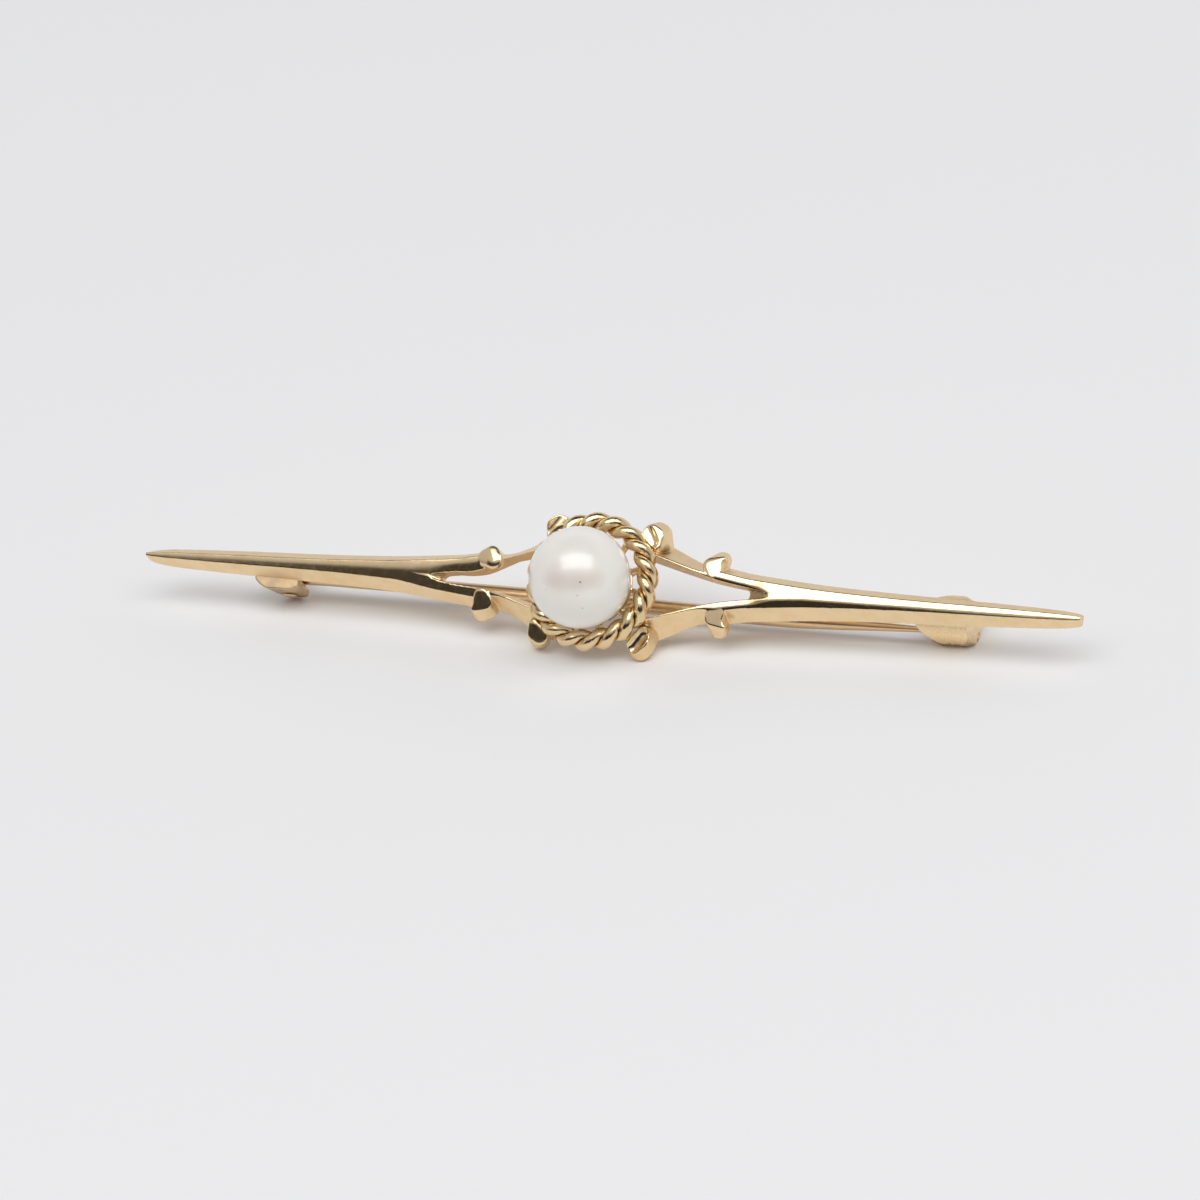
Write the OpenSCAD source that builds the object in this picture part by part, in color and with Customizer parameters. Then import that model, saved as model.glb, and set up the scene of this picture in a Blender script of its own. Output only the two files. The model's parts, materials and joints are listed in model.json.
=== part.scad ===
// Pearl bar brooch in pale yellow gold: two slender bars that fork into scrolled arms, a ring of
// twisted wire, a round pearl on a cup and peg, and on the back a hinged pin stem and a C catch.
// Every sub-part is drawn face up: x runs along the bars towards the catch, y across the face and
// z out of it, with the arms' front at z = 0. The whole brooch is then leaned back as it rests.

/* [Pearl] */
// Diameter of the pearl
pearl_d = 5; // [4:0.1:5.4]
// Height of the pearl's centre above the arms' front
pearl_z = 2.24; // [2.2:0.02:2.6]
// How far the ring sits towards the hinge
ring_shift = 0.1; // [0:0.02:0.2]
// How far the pearl sits below the middle of the ring
pearl_low = 0.14; // [0:0.02:0.16]

/* [Bars] */
// Half of the brooch's length, from the middle to a tip
half_l = 24.7; // [24:0.1:28]
// Depth of the casting where the bars fork
cast_t = 1.2; // [1:0.05:1.5]
// How far the bars' front sinks towards the tips
tip_drop = 0.64; // [0.3:0.02:0.8]
// Swell of the polished front, as a share of its half width
crown = 0.16; // [0.05:0.01:0.3]
// Where the two arms' fronts part
fork_x = 9.15; // [8.6:0.05:9.6]
// Where the opening between the arms begins to go right through
opening_x = 7.85; // [7:0.05:8.2]

/* [Rope ring] */
// Radius of the ring along the middle of the rope
ring_r = 2.9; // [2.8:0.05:3.1]
// Height of the ring above the arms' front
ring_z = 0.3; // [0.2:0.05:0.4]
// Radius of one strand of the rope
strand_r = 0.29; // [0.24:0.01:0.3]
// Distance of each strand's middle from the middle of the rope
strand_off = 0.23; // [0.18:0.01:0.24]
// Full turns of the two strands round the ring
turns = 9; // [7:1:11]

/* [Cup] */
// Thickness of the cup under the pearl
cup_t = 0.3; // [0.2:0.05:0.35]
// Radius of the cup's rim
rim_r = 2.03; // [1.8:0.01:2.1]
// Diameter of the peg that the pearl is glued on
peg_d = 0.7; // [0.5:0.05:0.9]
// Thickness of the spokes between the cup and the rope
spoke_d = 0.36; // [0.3:0.02:0.4]

/* [Pin stem and hinge] */
// Diameter of the pin stem
stem_d = 0.76; // [0.6:0.02:0.8]
// Distance of the stem's centre line behind the arms' front
stem_back = 2.7; // [2.6:0.05:2.9]
// Distance of the stem's root below the bars' centre line
stem_low = 0.26; // [0.2:0.02:0.3]
// How far the stem sinks per mm towards the catch
stem_fall = 0.0125; // [0.01:0.0005:0.015]
// Distance of the hinge rivet from the middle of the brooch
rivet_x = 17.4; // [17:0.1:18]
// Width of the hinge over both cheeks
hinge_w = 1.78; // [1.74:0.02:1.9]
// Thickness of one hinge cheek
cheek_t = 0.36; // [0.3:0.02:0.4]
// Diameter of the rivet
rivet_d = 0.5; // [0.4:0.02:0.6]

/* [Catch] */
// Distance of the catch's middle from the middle of the brooch
catch_x = 17.1; // [16.5:0.05:17.5]
// Length of the catch along the stem
catch_l = 2.9; // [2.6:0.1:3.2]
// Outer radius of the rolled catch
catch_r = 1.23; // [1.2:0.01:1.3]
// Thickness of the strip that the catch is rolled from
catch_t = 0.38; // [0.3:0.01:0.38]

/* [Resting pose] */
// Elevation of the face's outward direction when the brooch rests on a table
face_elevation = 40; // [38:1:42]

/* [Hidden] */

GOLD = [0.86, 0.71, 0.46];
PEARL = [0.93, 0.91, 0.88];
PIN = [0.84, 0.67, 0.42];

fit_gap = 0.03;       // between pieces that touch or turn on one another
eps = 0.05;           // how far soldered solids run into one another

// Right half of the casting, seen from the front. Columns: x, half width of the front,
// and how much wider the back is on the outer side.
outer_rows = [
    [2.3, 1.80, 1.05],
    [2.9, 1.60, 1.00],
    [3.6, 1.41, 0.86],
    [4.3, 1.21, 0.72],
    [5.0, 1.02, 0.60],
    [5.6, 0.94, 0.54],
    [6.2, 0.98, 0.50],
    [6.8, 0.90, 0.50],
    [7.6, 0.76, 0.50],
    [9.1, 0.62, 0.50],
    [10.8, 0.48, 0.50],
    [13.0, 0.37, 0.49],
    [15.8, 0.28, 0.48],
    [18.4, 0.24, 0.45],
    [21.0, 0.20, 0.40],
    [23.4, 0.14, 0.34],
    [24.4, 0.10, 0.24],
    [24.7, 0.07, 0.14],
];
// Opening between the two arms. Columns: x, half width at the front, and how much narrower
// the opening is at the back.
inner_rows = [
    [2.2, 1.72, 0.28],
    [2.9, 1.53, 0.27],
    [3.6, 1.32, 0.24],
    [4.3, 1.09, 0.19],
    [5.0, 0.87, 0.14],
    [5.6, 0.69, 0.10],
    [6.4, 0.50, 0.05],
    [7.2, 0.36, 0.02],
    [8.0, 0.25, 0.02],
    [8.6, 0.15, 0.02],
    [9.15, 0.01, 0.00],
];
section_step = 0.6;   // distance between the casting's sections
groove_z = -0.35;     // floor of the groove where the opening ends
end_round = 0.24;     // length of the opening's rounded end
left_opening = 0.6;   // how much longer the opening on the hinge side is
left_round = 0.5;     // length of its rounded end
arm_swell = 0.16;     // how much the upper arm on the hinge side swells under its scroll
tip_filed = 0.12;     // filed off the tip on the catch side

// Outer scroll: rounds at its root, then of its front and its back, and the notch behind its
// tip. Columns: x, y, radius, and for the front the height.
root_front = [6.05, 0.98, 0.36, 0.08];
root_back = [6.10, 1.05, 0.42];
scroll_front = [[5.86, 1.28, 0.40, 0.00], [6.42, 1.62, 0.16, -0.14]];
scroll_back = [[6.27, 1.66, 0.50]];
notch_front = [6.68, 1.30, 0.38];
notch_back = [7.15, 1.56, 0.20];
upper_draft = 0.8;    // the upper outer walls lean less than the lower ones
upper_slim = 0.14;    // filed off each side of the upper arm on the hinge side

// Inner bud beside the ring, in the same columns, and the long dish in its face
bud_front = [[2.90, 2.06, 0.26], [2.56, 2.62, 0.44], [2.78, 2.50, 0.44]];
bud_back = [[2.95, 2.00, 0.50], [2.66, 2.72, 0.60]];
bud_dish = [[2.58, 2.74], [2.86, 2.28]];
slim_foot = [2.80, 2.86, 0.46];   // back of the slimmer bud, which stands on the table too
bud_top_z = 0.12;
bud_back_z = -1.1;
dish_r = 0.62;
dish_depth = 0.2;
belly_z = -0.62;      // where a fuller bud bulges out furthest

// Directions of the spokes, in degrees from the catch side
spoke_angles = [22, 55, 88, 122, 155, 188, 222, 255, 284, 322, 354];
ring_sides = 14;      // points round the rope
ring_steps = 108;     // rings along the rope

pearl_r = pearl_d / 2;
cup_in = pearl_r + fit_gap;
cup_out = cup_in + cup_t;
peg_top = pearl_z - 0.7;
drill_r = peg_d / 2 + fit_gap;

stem_r = stem_d / 2;
tip_r = 0.06;
taper_x = 9.5;        // where the stem begins to narrow
stem_end = 18.3;
root_x = 15.5;        // where the stem's swelling at the hinge ends
root_r = 0.43;
eye_w = hinge_w - 2 * cheek_t - 2 * fit_gap;
eye_r = 0.7;
hinge_foot = 2.35;    // length of the hinge's base along the bar
hinge_in = 1;         // how far it runs from the rivet towards the middle
hinge_base_t = 0.3;
hinge_low = 0.33;     // distance of the hinge's middle below the bars' centre line
hinge_plan = [17, 1.8, 0.95];  // the hinge is filed to an oval: its middle and two half axes
stem_sink = 0.009;    // how far the stem leans back per mm towards the catch
head_r = 0.38;
head_t = 0.12;

// World height is y sin + z cos of the lean, so each foot reaches the table at the same height
lean = 90 - face_elevation;
rest_h = (bud_back[1][1] + bud_back[1][2]) * sin(lean) - bud_back_z * cos(lean);
cheek_low = hinge_low + hinge_w / 2;
cheek_end = (rest_h - cheek_low * sin(lean)) / cos(lean);
cheek_r = cheek_end - stem_back;
catch_low = 0.11;
catch_back = (rest_h - catch_low * sin(lean) - catch_r) / cos(lean);
catch_in = catch_r - catch_t;

// The brooch's box, pearl in front and catch behind, is centred over the origin
front_y = -pearl_low * cos(lean) - pearl_z * sin(lean) - pearl_r;
back_y = -catch_low * cos(lean) + catch_back * sin(lean) + catch_r;
rest_y = -(front_y + back_y) / 2;

// Mouth of the catch: the stem swings out straight back through it
mouth_y = stem_low + stem_fall * (rivet_x + catch_x - catch_l / 4);
mouth_room = 0.22;
catch_wall = 0.15;    // the rolled strip is closed at its outer end

// A smooth curve through one column of a table, by its first column
function row_at(rows, x, i = 0) =
    i >= len(rows) - 2 || x < rows[i + 1][0] ? i : row_at(rows, x, i + 1);
function slope(rows, c, i) =
    let (a = max(i - 1, 0), b = min(i + 1, len(rows) - 1))
    (rows[b][c] - rows[a][c]) / (rows[b][0] - rows[a][0]);
function curve(rows, c, x) =
    let (
        i = row_at(rows, x),
        h = rows[i + 1][0] - rows[i][0],
        u = (x - rows[i][0]) / h,
        from = rows[i][c],
        to = rows[i + 1][c],
        out = slope(rows, c, i) * h,
        in = slope(rows, c, i + 1) * h
    )
    from * (2 * u * u * u - 3 * u * u + 1) + out * (u * u * u - 2 * u * u + u)
    + to * (3 * u * u - 2 * u * u * u) + in * (u * u * u - u * u);

// Evenly spaced stations, ends included
function stations(from, to, step) =
    let (n = ceil((to - from) / step))
    [for (i = [0:n]) from + (to - from) * i / n];

// The table reaches its own last x, so a longer or shorter brooch stretches beyond the fork
function table_x(x) =
    x < fork_x ? x : fork_x + (x - fork_x) * (24.7 - fork_x) / (half_l - fork_x);
function front_z(x) = x < fork_x ? 0 : -tip_drop * (x - fork_x) / (half_l - fork_x);

// A closed skin over rings of points, with a cap on each end unless the rings form a loop
module skin(rings, loop = false) {
    n = len(rings[0]);
    m = len(rings);
    spans = loop ? m : m - 1;
    sides = [for (i = [0:spans - 1], j = [0:n - 1]) let (
        a = i * n + j,
        b = i * n + (j + 1) % n,
        c = ((i + 1) % m) * n + j,
        d = ((i + 1) % m) * n + (j + 1) % n
    ) each [[a, b, c], [b, d, c]]];
    caps = loop ? [] : [[for (j = [n - 1:-1:0]) j], [for (j = [0:n - 1]) (m - 1) * n + j]];
    polyhedron(points = [for (r = rings) each r], faces = concat(sides, caps));
}

// One end of the casting, from under the ring to its tip, before the opening is cut
module bar_blank(slim, filed) {
    skin([for (x = stations(2.3, half_l - filed, section_step)) let (
        t = table_x(x),
        w = curve(outer_rows, 1, t),
        up = w - slim * thinning(x),
        lean_out = curve(outer_rows, 2, t),
        z = front_z(x)
    ) [
        [x, -w - lean_out, -cast_t],
        [x, -w, z],
        [x, 0, z + crown * w],
        [x, up, z],
        [x, up + upper_draft * lean_out, -cast_t],
    ]]);
}

// Where an arm is filed thinner, between the ring and its scroll: 1 in the middle, 0 outside
function thinning(x) = max(0, 1 - pow((x - 4.4) / 1.7, 2));

// A cutter between the arms. Columns of its stations: x, half width at the front, floor.
module arm_cutter(cuts, slim) {
    top_z = 1;
    skin([for (c = cuts) let (
        draft = curve(inner_rows, 2, c[0]) / cast_t,
        swell = slim > 0 ? arm_swell * swelling(c[0]) : 0,
        up = c[1] + slim * thinning(c[0]) - min(swell, c[1] / 2)
    ) [
        [c[0], -c[1] - draft * c[2], c[2]],
        [c[0], -c[1] - draft * top_z, top_z],
        [c[0], up + draft * top_z, top_z],
        [c[0], up + draft * c[2], c[2]],
    ]]);
}

// How much of its swelling an arm has: all of it just before its scroll
function swelling(x) = max(0, 1 - pow((x - 6.1) / 1.5, 2));

// The opening goes right through and ends in a round
module through_opening(slim, open_x, round_l) {
    round_x = open_x - round_l;
    w = curve(inner_rows, 1, round_x);
    floor_z = -cast_t - 1;
    arm_cutter(concat(
        [for (x = stations(2.2, round_x, section_step)) [x, curve(inner_rows, 1, x), floor_z]],
        [for (a = [15:15:90]) [round_x + round_l * sin(a), max(0.05, w * cos(a)), floor_z]]
    ), slim);
}

// Past it a shallow groove runs up to the sharp fork. It starts a little narrower than the
// opening, so that its walls leave the opening's round at a clear angle.
module fork_groove(open_x) {
    from = open_x - 0.5;
    arm_cutter([for (x = stations(from, fork_x, 0.25)) let (
        rise = (x - open_x) / (fork_x - open_x),
        share = min(1, 0.9 + 0.25 * (x - from))
    ) [x, share * curve(inner_rows, 1, x), groove_z + (0.15 - groove_z) * rise]], 0);
}

module bar_with_arms(slim = 0, open_x = opening_x, round_l = end_round, filed = 0) {
    difference() {
        bar_blank(slim, filed);
        through_opening(slim, open_x, round_l);
        fork_groove(open_x);
    }
}

// Thin rounds, for the hulls of the scrolls and buds. A row's own height, if any, adds to z.
module rounds(rows, z) {
    for (r = rows)
        translate([r[0], r[1], z - 0.01 + (len(r) > 3 ? r[3] : 0)])
            cylinder(r = r[2], h = 0.02, $fn = 28);
}

function moved(rows, x, y) =
    [for (r = rows) concat([r[0] + x, r[1] + y], [for (i = [2:len(r) - 1]) r[i]])];

module outer_scroll(front_x = 0, back_x = 0, out = 0) {
    difference() {
        hull() {
            rounds(moved([root_front], front_x, 0), -0.01);
            rounds(moved(scroll_front, front_x, out), -0.01);
            rounds(moved([root_back], back_x, 0), 0.01 - cast_t);
            rounds(moved(scroll_back, back_x, out), 0.01 - cast_t);
        }
        hull() {
            rounds(moved([notch_front], front_x, out), 0.1);
            rounds(moved([notch_back], back_x, out), -cast_t - 0.1);
        }
    }
}

// The four scrolls, cut by hand and each a little different
module scrolls() {
    outer_scroll(front_x = -0.12, back_x = -0.3);
    mirror([1, 0, 0]) outer_scroll(out = -0.33);
    mirror([0, 1, 0]) {
        mirror([1, 0, 0]) outer_scroll();
        outer_scroll(front_x = 0.3);
    }
}

module inner_bud(inward = 0, out = 0, belly = 0, foot = bud_back[1]) {
    difference() {
        hull() {
            rounds(moved(bud_front, -inward, out), bud_top_z);
            rounds(moved([foot], -inward, belly), belly_z);
            rounds(moved([bud_back[0], foot], -inward, 0), bud_back_z + 0.01);
        }
        hull()
            for (d = bud_dish)
                translate([d[0] - inward, d[1] + out, bud_top_z + dish_r - dish_depth])
                    sphere(r = dish_r, $fn = 24);
    }
}

// The four buds, three of them a little out of line
module buds() {
    inner_bud();
    mirror([1, 0, 0]) inner_bud(inward = 0.26, out = 0.2);
    mirror([0, 1, 0]) {
        mirror([1, 0, 0]) inner_bud(foot = slim_foot);
        inner_bud(inward = 0.16, out = 0.2, belly = 0.28);
    }
}

// Two strands twisted left-handed: the rope's section has two lobes and turns as it goes round
function lobes(a) =
    strand_off * abs(cos(a)) + sqrt(strand_r * strand_r - pow(strand_off * sin(a), 2));

module rope_ring() {
    skin([for (i = [0:ring_steps - 1]) let (t = 360 * i / ring_steps)
        [for (j = [0:ring_sides - 1]) let (
            a = -360 * j / ring_sides,
            turn = a - turns * t,
            out = ring_r + lobes(a) * sin(turn)
        ) [out * cos(t), out * sin(t), ring_z + lobes(a) * cos(turn)]]
    ], loop = true);
}

// The pearl and its cup stand a touch below the middle of the brooch
module on_cup() {
    translate([0, -pearl_low, 0]) children();
}

// Shallow cup that follows the pearl, its peg, and the spokes that carry it in the ring
module cup() {
    rim_a = asin(rim_r / cup_out);
    translate([0, 0, pearl_z])
        rotate_extrude($fn = 40)
            difference() {
                intersection() {
                    circle(r = cup_out, $fn = 40);
                    polygon([[0, 0], [0, -4], [4 * tan(rim_a), -4]]);
                }
                circle(r = cup_in, $fn = 40);
            }
    translate([0, 0, pearl_z - cup_out + cup_t / 2])
        cylinder(d = peg_d, h = peg_top - pearl_z + cup_out - cup_t / 2, $fn = 32);
}

module spokes() {
    for (a = spoke_angles)
        rotate([0, 0, a])
            translate([rim_r - 0.2, 0, 0.1])
                rotate([0, 80, 0])
                    cylinder(d = spoke_d, h = ring_r - rim_r + 0.1, $fn = 8);
}

// Folded hinge, filed to an oval: a base under the bar and two cheeks drilled for the rivet
module hinge() {
    difference() {
        intersection() {
            translate([-rivet_x, -hinge_low, 0]) {
                translate([hinge_in - hinge_foot, -hinge_w / 2, -cast_t - hinge_base_t])
                    cube([hinge_foot, hinge_w, hinge_base_t + eps]);
                for (side = [-1, 1])
                    translate([0, side * (hinge_w - cheek_t) / 2, 0])
                        rotate([90, 0, 0])
                            linear_extrude(height = cheek_t, center = true)
                                hull() {
                                    translate([0, -stem_back]) circle(r = cheek_r, $fn = 32);
                                    translate([hinge_in - hinge_foot, -cast_t - hinge_base_t])
                                        square([hinge_foot, hinge_base_t]);
                                }
            }
            translate([-hinge_plan[0], -hinge_low, -6])
                scale([hinge_plan[1], hinge_plan[2], 1]) cylinder(r = 1, h = 6, $fn = 64);
        }
        on_rivet() cylinder(d = rivet_d + 2 * fit_gap, h = 2 * hinge_w, center = true, $fn = 32);
    }
}

// Puts its children on the rivet, with z along it
module on_rivet() {
    translate([-rivet_x, -hinge_low, -stem_back]) rotate([90, 0, 0]) children();
}

// Puts its children on the stem's axis, with z along it from the rivet
module on_stem() {
    translate([-rivet_x, -stem_low, -stem_back])
        rotate([0, 90 + atan(stem_sink), 0])
            rotate([atan(stem_fall), 0, 0])
                children();
}

// Strip rolled to a C round the end of the stem, closed at its outer end, on a short foot
module catch() {
    foot_w = 0.9;
    right = catch_x + catch_l / 2;
    intersection() {
        difference() {
            union() {
                translate([catch_x, -catch_low, -catch_back])
                    rotate([0, 90, 0])
                        cylinder(r = catch_r, h = catch_l, center = true, $fn = 48);
                translate([catch_x - catch_l / 2, -catch_low - foot_w / 2, -catch_back])
                    cube([catch_l, foot_w, catch_back - cast_t + eps]);
            }
            translate([right - catch_wall - 2 * catch_l, -catch_low, -catch_back])
                rotate([0, 90, 0])
                    cylinder(r = catch_in, h = 2 * catch_l, $fn = 48);
            translate([right - catch_wall - 2 * catch_l, -mouth_y - mouth_room, -catch_back - 3])
                cube([2 * catch_l, 2 * mouth_room, 3.2]);
        }
        translate([0, -catch_low, -6]) linear_extrude(height = 6) catch_plan();
    }
}

// Its outline from the front: pointed like an egg at its inner end, square at its outer end,
// and a little slimmer above the bar than below it
module catch_plan() {
    hull() {
        intersection() {
            translate([17.5, 0]) scale([1.75, 1.27]) circle(r = 1, $fn = 64);
            translate([15, -2]) square([4, 2]);
        }
        translate([17.6, 0]) scale([1.4, 1.1]) circle(r = 1, $fn = 64);
        translate([18, -0.57]) circle(r = 0.66, $fn = 32);
        translate([18, 0.45]) circle(r = 0.66, $fn = 32);
    }
}

// The soldered gold: castings, rope ring, cup, hinge and catch are one solid
module frame() {
    color(GOLD)
        resting() {
            bar_with_arms(filed = tip_filed);
            mirror([1, 0, 0])
                bar_with_arms(upper_slim, opening_x + left_opening, left_round);
            scrolls();
            buds();
            translate([-ring_shift, 0, 0]) rope_ring();
            on_cup() cup();
            on_cup() spokes();
            hinge();
            catch();
        }
}

// Round pearl, half drilled for the peg
module pearl() {
    color(PEARL)
        resting()
            on_cup()
                difference() {
                    translate([0, 0, pearl_z]) sphere(r = pearl_r, $fn = 64);
                    translate([0, 0, pearl_z - pearl_r - 1])
                        cylinder(r = drill_r, h = peg_top - pearl_z + pearl_r + 1 + fit_gap, $fn = 32);
                }
}

// Straight pin with a point, and an eye that turns on the rivet
module pin_stem() {
    color(PIN)
        resting()
            difference() {
                union() {
                    on_rivet() cylinder(r = eye_r, h = eye_w, center = true, $fn = 48);
                    on_stem() {
                        cylinder(r1 = root_r, r2 = stem_r, h = rivet_x - root_x, $fn = 32);
                        translate([0, 0, rivet_x - root_x])
                            cylinder(r = stem_r, h = root_x + taper_x, $fn = 32);
                        translate([0, 0, rivet_x + taper_x])
                            cylinder(r1 = stem_r, r2 = tip_r, h = stem_end - taper_x, $fn = 32);
                    }
                }
                on_rivet()
                    cylinder(d = rivet_d + 2 * fit_gap, h = hinge_w, center = true, $fn = 32);
            }
}

// Rivet through both cheeks, peened at its ends
module hinge_rivet() {
    color(PIN)
        resting()
            on_rivet() {
                cylinder(d = rivet_d, h = hinge_w + 2 * fit_gap, center = true, $fn = 32);
                for (side = [0, 1])
                    mirror([0, 0, side])
                        translate([0, 0, hinge_w / 2 + fit_gap])
                            cylinder(r = head_r, h = head_t, $fn = 32);
            }
}

// Leans the brooch back until its lower buds, hinge and catch stand on the table
module resting() {
    translate([0, rest_y, rest_h]) rotate([lean, 0, 0]) children();
}

frame();
pearl();
pin_stem();
hinge_rivet();
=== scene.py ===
# %% [markdown]
# A pearl bar brooch in pale yellow gold, lying on a white table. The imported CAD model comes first,
# because it fixes every size and place. The gold is then rebuilt with finer meshes, since polished
# metal shows each facet of a coarse one.

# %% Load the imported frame
import json
import math

import bmesh
import bpy
from mathutils import Matrix, Vector


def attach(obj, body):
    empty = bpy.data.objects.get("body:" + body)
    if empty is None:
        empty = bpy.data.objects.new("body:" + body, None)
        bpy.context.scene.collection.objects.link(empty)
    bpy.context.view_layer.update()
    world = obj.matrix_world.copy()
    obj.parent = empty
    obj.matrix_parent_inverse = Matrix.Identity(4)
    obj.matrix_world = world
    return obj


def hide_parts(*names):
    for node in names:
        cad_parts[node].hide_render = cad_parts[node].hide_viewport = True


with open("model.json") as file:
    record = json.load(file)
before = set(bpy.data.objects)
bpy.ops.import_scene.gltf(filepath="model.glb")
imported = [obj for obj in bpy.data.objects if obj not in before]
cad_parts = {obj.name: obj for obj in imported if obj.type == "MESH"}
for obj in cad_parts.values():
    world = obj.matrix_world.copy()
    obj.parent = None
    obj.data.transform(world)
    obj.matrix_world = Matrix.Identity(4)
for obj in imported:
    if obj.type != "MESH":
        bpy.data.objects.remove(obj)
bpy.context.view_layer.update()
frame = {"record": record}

# %% [markdown]
# The brooch is drawn face up and in millimetres: x runs along the bars towards the catch, y across
# the face and z out of it. It lies leaned back on its lower buds, hinge and catch. The rivet's
# place is known in both frames, so it gives the shift between them.

# %% Resting pose
MM = 0.001
LEAN = math.radians(50)
RIVET = Vector((-17.4, -0.33, -2.7))

hinge_joint = frame["record"]["behaviour"]["joints"][0]
tilt = Matrix.Rotation(LEAN, 4, "X")
shift = Vector(hinge_joint["pos_m"]) / MM - tilt @ RIVET
PLACE = Matrix.Scale(MM, 4) @ Matrix.Translation(shift) @ tilt
print("shift of the resting brooch in mm:", [round(v, 3) for v in shift])

# %% [markdown]
# The camera comes early, because every comparison with the photograph depends on it. Its place and
# its small roll were worked out from the brooch's own symmetry. A long lens keeps both ends of the
# bars nearly the same size. It aims a little beside the brooch's middle.

# %% Camera
UP = Vector((-0.065, 0.494, 0.867))
TOWARDS = Vector((0.369, -0.795, 0.481))
CAMERA_DISTANCE = 320.3
LENS = 196.8
AIM_RIGHT = 0.185
AIM_UP = -0.835

away = TOWARDS.normalized()
right = UP.cross(away).normalized()
up = away.cross(right)
eye = shift + AIM_RIGHT * right + AIM_UP * up + CAMERA_DISTANCE * away

camera_data = bpy.data.cameras.new("camera")
camera_data.sensor_width = 36
camera_data.lens = LENS
camera_data.clip_start = 0.01
camera_data.clip_end = 20
camera = bpy.data.objects.new("camera", camera_data)
camera.matrix_world = Matrix.Translation(eye * MM) @ Matrix((right, up, away)).transposed().to_4x4()
bpy.context.scene.collection.objects.link(camera)
bpy.context.scene.camera = camera
print("camera at", [round(v, 4) for v in eye * MM])

# %% [markdown]
# Most forms here are skins over a row of sections, or hulls round a few circles. Both need only a
# few lines of mesh code. A cut is made with Blender's Boolean modifier on a scratch object.

# %% Mesh helpers
def mesh_of(points, faces):
    """A mesh with its faces turned outwards, in millimetres."""
    bm = bmesh.new()
    made = [bm.verts.new(p) for p in points]
    for face in faces:
        bm.faces.new([made[i] for i in face])
    bmesh.ops.recalc_face_normals(bm, faces=bm.faces)
    mesh = bpy.data.meshes.new("shape")
    bm.to_mesh(mesh)
    bm.free()
    return mesh


def skin(rings, loop=False):
    """A closed skin over rings of points, capped at both ends unless it runs in a loop."""
    around = len(rings[0])
    count = len(rings)
    faces = []
    for i in range(count if loop else count - 1):
        after = (i + 1) % count
        for j in range(around):
            k = (j + 1) % around
            faces.append((i * around + j, i * around + k, after * around + k, after * around + j))
    if not loop:
        faces.append(tuple(range(around)))
        faces.append(tuple((count - 1) * around + j for j in range(around)))
    return mesh_of([p for ring in rings for p in ring], faces)


def hull(points):
    """The tightest closed skin round some points."""
    bm = bmesh.new()
    for p in points:
        bm.verts.new(p)
    result = bmesh.ops.convex_hull(bm, input=bm.verts)
    spare = {g for g in result["geom_interior"] + result["geom_unused"] if isinstance(g, bmesh.types.BMVert)}
    bmesh.ops.delete(bm, geom=list(spare), context="VERTS")
    bmesh.ops.recalc_face_normals(bm, faces=bm.faces)
    mesh = bpy.data.meshes.new("shape")
    bm.to_mesh(mesh)
    bm.free()
    return mesh


def scratch(mesh):
    """An object for modifiers to work on."""
    obj = bpy.data.objects.new("scratch", mesh)
    bpy.context.scene.collection.objects.link(obj)
    return obj


def evaluated(obj):
    """The mesh that obj's modifiers give. The scratch object is removed."""
    graph = bpy.context.evaluated_depsgraph_get()
    mesh = bpy.data.meshes.new_from_object(obj.evaluated_get(graph))
    bpy.data.objects.remove(obj)
    return mesh


def carve(mesh, tool, operation="DIFFERENCE"):
    """Cuts the tool out of a solid, or joins or intersects the two."""
    body = scratch(mesh)
    cutter = scratch(tool)
    boolean = body.modifiers.new("carve", "BOOLEAN")
    boolean.operation = operation
    boolean.solver = "MANIFOLD"
    boolean.object = cutter
    result = evaluated(body)
    bpy.data.objects.remove(cutter)
    return result


def joined(meshes):
    """Several meshes in one, without fusing them."""
    bm = bmesh.new()
    for mesh in meshes:
        bm.from_mesh(mesh)
    mesh = bpy.data.meshes.new("shape")
    bm.to_mesh(mesh)
    bm.free()
    return mesh


def cast(meshes, voxel, smoothing, keep=1.0):
    """One solid from overlapping ones, with the softly rounded edges of a polished casting."""
    obj = scratch(joined(meshes))
    remesh = obj.modifiers.new("fuse", "REMESH")
    remesh.mode = "VOXEL"
    remesh.voxel_size = voxel
    soften = obj.modifiers.new("soften", "SMOOTH")
    soften.factor = 0.5
    soften.iterations = smoothing
    if keep < 1:
        obj.modifiers.new("thin out", "DECIMATE").ratio = keep
    return evaluated(obj)


def mirrored(mesh, axis):
    """Turns a mesh into its mirror image along axis 0, 1 or 2."""
    scale = Vector((1, 1, 1))
    scale[axis] = -1
    mesh.transform(Matrix.Diagonal(scale.to_4d()))
    mesh.flip_normals()
    return mesh


def circle(r, sides=48):
    """Points (x, y) on a circle round the origin."""
    angles = [2 * math.pi * k / sides for k in range(sides)]
    return [(r * math.cos(a), r * math.sin(a)) for a in angles]


def add_piece(name, mesh, body, node):
    """Turns a mesh in millimetres into a finished piece that rides on a CAD body."""
    mesh.name = name
    mesh.transform(PLACE)
    mesh.shade_smooth()
    obj = bpy.data.objects.new(name, mesh)
    bpy.context.scene.collection.objects.link(obj)
    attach(obj, body)
    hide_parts(node)
    print(name, len(mesh.polygons), "faces")
    return obj


# %% [markdown]
# Each half of the brooch is one casting: a slender bar that forks into two arms. Its walls lean
# outwards to a flat back, and its narrow front is polished to a low crown. Two tables give the
# outer and the inner outline, and a smooth curve runs through their rows.

# %% Outlines of the casting
HALF_LENGTH = 24.7
TIP_FILED = 0.12
CAST_DEPTH = 1.2
RING_X = 2.5
TIP_DROP = 0.64
FORK_X = 9.15
OPENING_X = 7.85
UPPER_DRAFT = 0.8
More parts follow.
